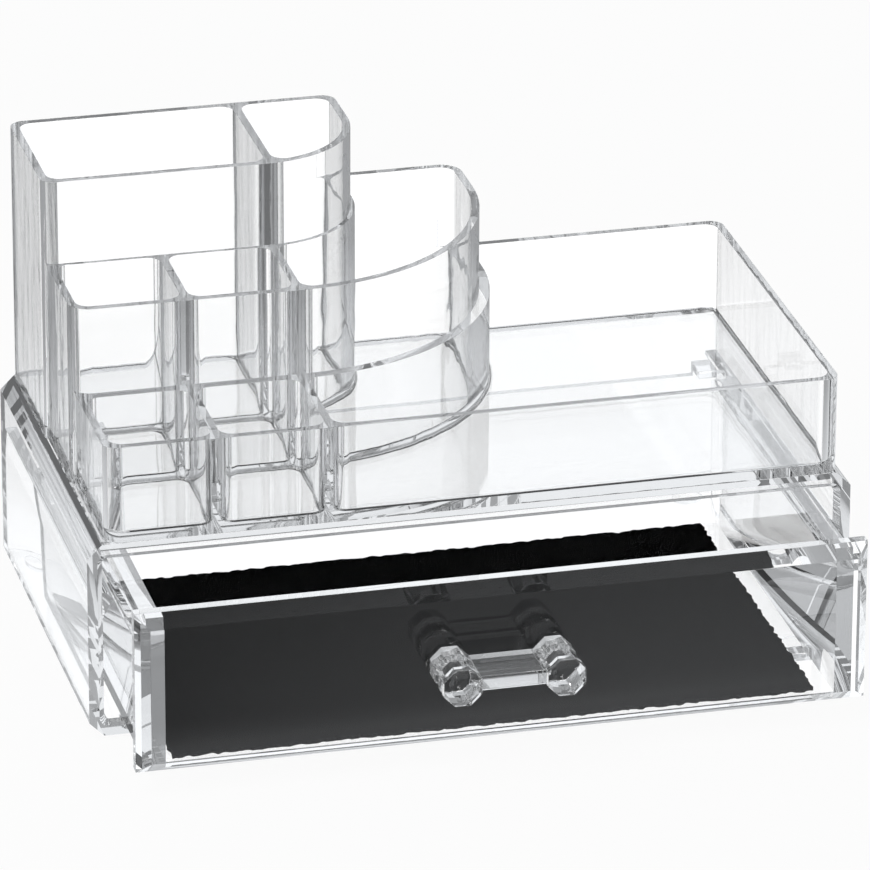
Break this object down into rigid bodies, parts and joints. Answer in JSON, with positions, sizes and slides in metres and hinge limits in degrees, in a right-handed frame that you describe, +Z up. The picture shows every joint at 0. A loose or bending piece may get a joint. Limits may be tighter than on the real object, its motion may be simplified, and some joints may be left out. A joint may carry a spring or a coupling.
{
  "type": "brush holder with drawer",
  "caption": "Clear countertop brush and cosmetics organiser: a stepped tray of open cups and curved bins on a low case with a sliding drawer, a dark liner and a faceted bar handle.",
  "frame": {"origin": "on the surface it stands on, under the middle of its outline with the drawer as pictured", "axes": "+X to the right seen from the front, +Y to the back, +Z up"},
  "size_m": [0.24, 0.1962, 0.1511],
  "materials": {
    "case_clear": "clear polished acrylic, 5 mm sides",
    "tray_clear": "clear polished acrylic, 2.5 mm walls",
    "drawer_clear": "clear polished acrylic, 5.4 mm sides and a 2.5 mm back",
    "front_clear": "thick clear polished acrylic with bevelled edges",
    "liner_dark": "matt black soft sheet with hand-cut edges",
    "handle_clear": "clear cut and polished acrylic"
  },
  "bodies": {
    "case": {"case_sleeve": "case_clear"},
    "drawer": {"drawer_box": "drawer_clear", "drawer_front": "front_clear", "drawer_liner": "liner_dark", "handle_post_left": "handle_clear", "handle_post_right": "handle_clear", "handle_bar": "handle_clear"},
    "tray": {"organiser_tray": "tray_clear"}
  },
  "joints": [
    {"name": "drawer_slide", "type": "slide", "parent": "case", "child": "drawer", "axis": [0, -1, 0], "range_m": [-0.036, 0.081]},
    {"name": "tray_lift", "type": "slide", "parent": "case", "child": "tray", "axis": [0, 0, 1], "range_m": [0, 0.04]}
  ]
}
